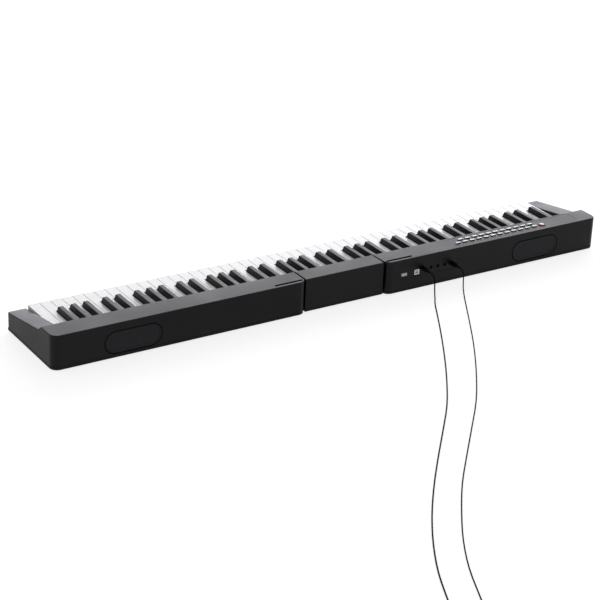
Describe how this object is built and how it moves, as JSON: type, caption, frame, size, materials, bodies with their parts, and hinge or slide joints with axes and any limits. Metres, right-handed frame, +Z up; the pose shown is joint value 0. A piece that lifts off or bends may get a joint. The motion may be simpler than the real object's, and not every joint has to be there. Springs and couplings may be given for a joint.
{
  "type": "digital piano",
  "caption": "Slim folding digital piano with a full-size keyboard in two halves joined by a central hinge block, with its power and audio leads.",
  "frame": {"origin": "middle of the footprint, on the surface it stands on", "axes": "+X along the keyboard to the treble end, -Y towards the player, +Z up"},
  "size_m": [1.304, 1.2717, 0.0748],
  "materials": {
    "black_abs": "fine matt grain",
    "tray_abs": "matt",
    "ivory_abs": "satin",
    "ebony_abs": "satin",
    "frame_abs": "matt",
    "zinc_steel": "zinc plated",
    "foot_rubber": "matt",
    "grille_abs": "fine matt grain",
    "cone_paper": "felted paper",
    "panel_film": "satin film",
    "button_silicone": "silver lacquer",
    "power_abs": "translucent",
    "circuit_laminate": "green solder mask",
    "battery_wrap": "shrink film",
    "lead_pvc": "soft satin"
  },
  "bodies": {
    "bass_half": {"bass_top_shell": "black_abs", "bass_bottom_tray": "tray_abs", "bass_key_frame": "frame_abs", "bass_hinge_plate": "zinc_steel", "bass_hinge_pin": "zinc_steel", "bass_front_foot": "foot_rubber", "bass_rear_foot": "foot_rubber", "bass_speaker_grille": "grille_abs", "bass_speaker": "cone_paper", "socket_panel": "grille_abs", "control_panel": "panel_film", "button_board": "circuit_laminate", "main_board": "circuit_laminate", "dc_plug": "lead_pvc", "dc_lead": "lead_pvc", "dc_coil": "lead_pvc", "dc_far_plug": "lead_pvc", "audio_plug": "lead_pvc", "audio_lead": "lead_pvc", "audio_coil": "lead_pvc", "audio_far_plug": "lead_pvc"},
    "hinge_block": {"hinge_block_cover": "black_abs", "hinge_block_base": "tray_abs"},
    "treble_half": {"treble_top_shell": "black_abs", "treble_bottom_tray": "tray_abs", "treble_key_frame": "frame_abs", "treble_hinge_plate": "zinc_steel", "treble_hinge_pin": "zinc_steel", "treble_front_foot": "foot_rubber", "treble_rear_foot": "foot_rubber", "treble_speaker_grille": "grille_abs", "treble_speaker": "cone_paper", "battery_pack": "battery_wrap"},
    "keys_black_1_body": {"keys_black_1": "ebony_abs"},
    "keys_black_2_body": {"keys_black_2": "ebony_abs"},
    "keys_black_3_body": {"keys_black_3": "ebony_abs"},
    "keys_black_4_high_body": {"keys_black_4_high": "ebony_abs"},
    "keys_black_4_low_body": {"keys_black_4_low": "ebony_abs"},
    "keys_black_5_body": {"keys_black_5": "ebony_abs"},
    "keys_black_6_body": {"keys_black_6": "ebony_abs"},
    "keys_black_7_body": {"keys_black_7": "ebony_abs"},
    "keys_c4_e4_body": {"keys_c4_e4": "ivory_abs"},
    "keys_c_e_g_b_1_body": {"keys_c_e_g_b_1": "ivory_abs"},
    "keys_c_e_g_b_2_body": {"keys_c_e_g_b_2": "ivory_abs"},
    "keys_c_e_g_b_3_body": {"keys_c_e_g_b_3": "ivory_abs"},
    "keys_c_e_g_b_5_body": {"keys_c_e_g_b_5": "ivory_abs"},
    "keys_c_e_g_b_6_body": {"keys_c_e_g_b_6": "ivory_abs"},
    "keys_c_e_g_b_7_body": {"keys_c_e_g_b_7": "ivory_abs"},
    "keys_d4_body": {"keys_d4": "ivory_abs"},
    "keys_d_f_a_1_body": {"keys_d_f_a_1": "ivory_abs"},
    "keys_d_f_a_2_body": {"keys_d_f_a_2": "ivory_abs"},
    "keys_d_f_a_3_body": {"keys_d_f_a_3": "ivory_abs"},
    "keys_d_f_a_5_body": {"keys_d_f_a_5": "ivory_abs"},
    "keys_d_f_a_6_body": {"keys_d_f_a_6": "ivory_abs"},
    "keys_d_f_a_7_body": {"keys_d_f_a_7": "ivory_abs"},
    "keys_f4_a4_body": {"keys_f4_a4": "ivory_abs"},
    "keys_g4_b4_body": {"keys_g4_b4": "ivory_abs"},
    "keypad_upper_row_body": {"keypad_upper_row": "button_silicone"},
    "keypad_lower_row_body": {"keypad_lower_row": "button_silicone"},
    "power_button_body": {"power_button": "power_abs"}
  },
  "joints": [
    {"name": "bass_fold", "type": "hinge", "parent": "bass_half", "child": "hinge_block", "pos_m": [-0.0345, 0.07, 0.04], "axis": [0, -1, 0], "range_deg": [0, 90]},
    {"name": "treble_fold", "type": "hinge", "parent": "hinge_block", "child": "treble_half", "pos_m": [0.0345, 0.07, 0.04], "axis": [0, -1, 0], "range_deg": [0, 90]},
    {"name": "keys_black_1_press", "type": "hinge", "parent": "bass_half", "child": "keys_black_1_body", "pos_m": [0, 0.0485, 0.0471], "axis": [1, 0, 0], "range_deg": [0, 4], "stiffness_Nm_per_rad": 0.5, "springref_deg": -11.46},
    {"name": "keys_black_2_press", "type": "hinge", "parent": "bass_half", "child": "keys_black_2_body", "pos_m": [0, 0.0485, 0.0471], "axis": [1, 0, 0], "range_deg": [0, 4], "stiffness_Nm_per_rad": 0.5, "springref_deg": -11.46},
    {"name": "keys_black_3_press", "type": "hinge", "parent": "bass_half", "child": "keys_black_3_body", "pos_m": [0, 0.0485, 0.0471], "axis": [1, 0, 0], "range_deg": [0, 4], "stiffness_Nm_per_rad": 0.5, "springref_deg": -11.46},
    {"name": "keys_black_4_high_press", "type": "hinge", "parent": "treble_half", "child": "keys_black_4_high_body", "pos_m": [0, 0.0485, 0.0471], "axis": [1, 0, 0], "range_deg": [0, 4], "stiffness_Nm_per_rad": 0.5, "springref_deg": -11.46},
    {"name": "keys_black_4_low_press", "type": "hinge", "parent": "bass_half", "child": "keys_black_4_low_body", "pos_m": [0, 0.0485, 0.0471], "axis": [1, 0, 0], "range_deg": [0, 4], "stiffness_Nm_per_rad": 0.5, "springref_deg": -11.46},
    {"name": "keys_black_5_press", "type": "hinge", "parent": "treble_half", "child": "keys_black_5_body", "pos_m": [0, 0.0485, 0.0471], "axis": [1, 0, 0], "range_deg": [0, 4], "stiffness_Nm_per_rad": 0.5, "springref_deg": -11.46},
    {"name": "keys_black_6_press", "type": "hinge", "parent": "treble_half", "child": "keys_black_6_body", "pos_m": [0, 0.0485, 0.0471], "axis": [1, 0, 0], "range_deg": [0, 4], "stiffness_Nm_per_rad": 0.5, "springref_deg": -11.46},
    {"name": "keys_black_7_press", "type": "hinge", "parent": "treble_half", "child": "keys_black_7_body", "pos_m": [0, 0.0485, 0.0471], "axis": [1, 0, 0], "range_deg": [0, 4], "stiffness_Nm_per_rad": 0.5, "springref_deg": -11.46},
    {"name": "keys_c4_e4_press", "type": "hinge", "parent": "bass_half", "child": "keys_c4_e4_body", "pos_m": [0, 0.0485, 0.0471], "axis": [1, 0, 0], "range_deg": [0, 3.2], "stiffness_Nm_per_rad": 0.8, "springref_deg": -11.46},
    {"name": "keys_c_e_g_b_1_press", "type": "hinge", "parent": "bass_half", "child": "keys_c_e_g_b_1_body", "pos_m": [0, 0.0485, 0.0471], "axis": [1, 0, 0], "range_deg": [0, 3.2], "stiffness_Nm_per_rad": 0.8, "springref_deg": -11.46},
    {"name": "keys_c_e_g_b_2_press", "type": "hinge", "parent": "bass_half", "child": "keys_c_e_g_b_2_body", "pos_m": [0, 0.0485, 0.0471], "axis": [1, 0, 0], "range_deg": [0, 3.2], "stiffness_Nm_per_rad": 0.8, "springref_deg": -11.46},
    {"name": "keys_c_e_g_b_3_press", "type": "hinge", "parent": "bass_half", "child": "keys_c_e_g_b_3_body", "pos_m": [0, 0.0485, 0.0471], "axis": [1, 0, 0], "range_deg": [0, 3.2], "stiffness_Nm_per_rad": 0.8, "springref_deg": -11.46},
    {"name": "keys_c_e_g_b_5_press", "type": "hinge", "parent": "treble_half", "child": "keys_c_e_g_b_5_body", "pos_m": [0, 0.0485, 0.0471], "axis": [1, 0, 0], "range_deg": [0, 3.2], "stiffness_Nm_per_rad": 0.8, "springref_deg": -11.46},
    {"name": "keys_c_e_g_b_6_press", "type": "hinge", "parent": "treble_half", "child": "keys_c_e_g_b_6_body", "pos_m": [0, 0.0485, 0.0471], "axis": [1, 0, 0], "range_deg": [0, 3.2], "stiffness_Nm_per_rad": 0.8, "springref_deg": -11.46},
    {"name": "keys_c_e_g_b_7_press", "type": "hinge", "parent": "treble_half", "child": "keys_c_e_g_b_7_body", "pos_m": [0, 0.0485, 0.0471], "axis": [1, 0, 0], "range_deg": [0, 3.2], "stiffness_Nm_per_rad": 0.8, "springref_deg": -11.46},
    {"name": "keys_d4_press", "type": "hinge", "parent": "bass_half", "child": "keys_d4_body", "pos_m": [0, 0.0485, 0.0471], "axis": [1, 0, 0], "range_deg": [0, 3.2], "stiffness_Nm_per_rad": 0.8, "springref_deg": -11.46},
    {"name": "keys_d_f_a_1_press", "type": "hinge", "parent": "bass_half", "child": "keys_d_f_a_1_body", "pos_m": [0, 0.0485, 0.0471], "axis": [1, 0, 0], "range_deg": [0, 3.2], "stiffness_Nm_per_rad": 0.8, "springref_deg": -11.46},
    {"name": "keys_d_f_a_2_press", "type": "hinge", "parent": "bass_half", "child": "keys_d_f_a_2_body", "pos_m": [0, 0.0485, 0.0471], "axis": [1, 0, 0], "range_deg": [0, 3.2], "stiffness_Nm_per_rad": 0.8, "springref_deg": -11.46},
    {"name": "keys_d_f_a_3_press", "type": "hinge", "parent": "bass_half", "child": "keys_d_f_a_3_body", "pos_m": [0, 0.0485, 0.0471], "axis": [1, 0, 0], "range_deg": [0, 3.2], "stiffness_Nm_per_rad": 0.8, "springref_deg": -11.46},
    {"name": "keys_d_f_a_5_press", "type": "hinge", "parent": "treble_half", "child": "keys_d_f_a_5_body", "pos_m": [0, 0.0485, 0.0471], "axis": [1, 0, 0], "range_deg": [0, 3.2], "stiffness_Nm_per_rad": 0.8, "springref_deg": -11.46},
    {"name": "keys_d_f_a_6_press", "type": "hinge", "parent": "treble_half", "child": "keys_d_f_a_6_body", "pos_m": [0, 0.0485, 0.0471], "axis": [1, 0, 0], "range_deg": [0, 3.2], "stiffness_Nm_per_rad": 0.8, "springref_deg": -11.46},
    {"name": "keys_d_f_a_7_press", "type": "hinge", "parent": "treble_half", "child": "keys_d_f_a_7_body", "pos_m": [0, 0.0485, 0.0471], "axis": [1, 0, 0], "range_deg": [0, 3.2], "stiffness_Nm_per_rad": 0.8, "springref_deg": -11.46},
    {"name": "keys_f4_a4_press", "type": "hinge", "parent": "treble_half", "child": "keys_f4_a4_body", "pos_m": [0, 0.0485, 0.0471], "axis": [1, 0, 0], "range_deg": [0, 3.2], "stiffness_Nm_per_rad": 0.8, "springref_deg": -11.46},
    {"name": "keys_g4_b4_press", "type": "hinge", "parent": "treble_half", "child": "keys_g4_b4_body", "pos_m": [0, 0.0485, 0.0471], "axis": [1, 0, 0], "range_deg": [0, 3.2], "stiffness_Nm_per_rad": 0.8, "springref_deg": -11.46},
    {"name": "keypad_upper_row_press", "type": "slide", "parent": "bass_half", "child": "keypad_upper_row_body", "axis": [0, 0, -1], "range_m": [0, 0.0008], "stiffness_N_per_m": 800, "springref_m": -0.001},
    {"name": "keypad_lower_row_press", "type": "slide", "parent": "bass_half", "child": "keypad_lower_row_body", "axis": [0, 0, -1], "range_m": [0, 0.0008], "stiffness_N_per_m": 800, "springref_m": -0.001},
    {"name": "power_button_press", "type": "slide", "parent": "bass_half", "child": "power_button_body", "axis": [0, 0, -1], "range_m": [0, 0.0008], "stiffness_N_per_m": 800, "springref_m": -0.001}
  ]
}
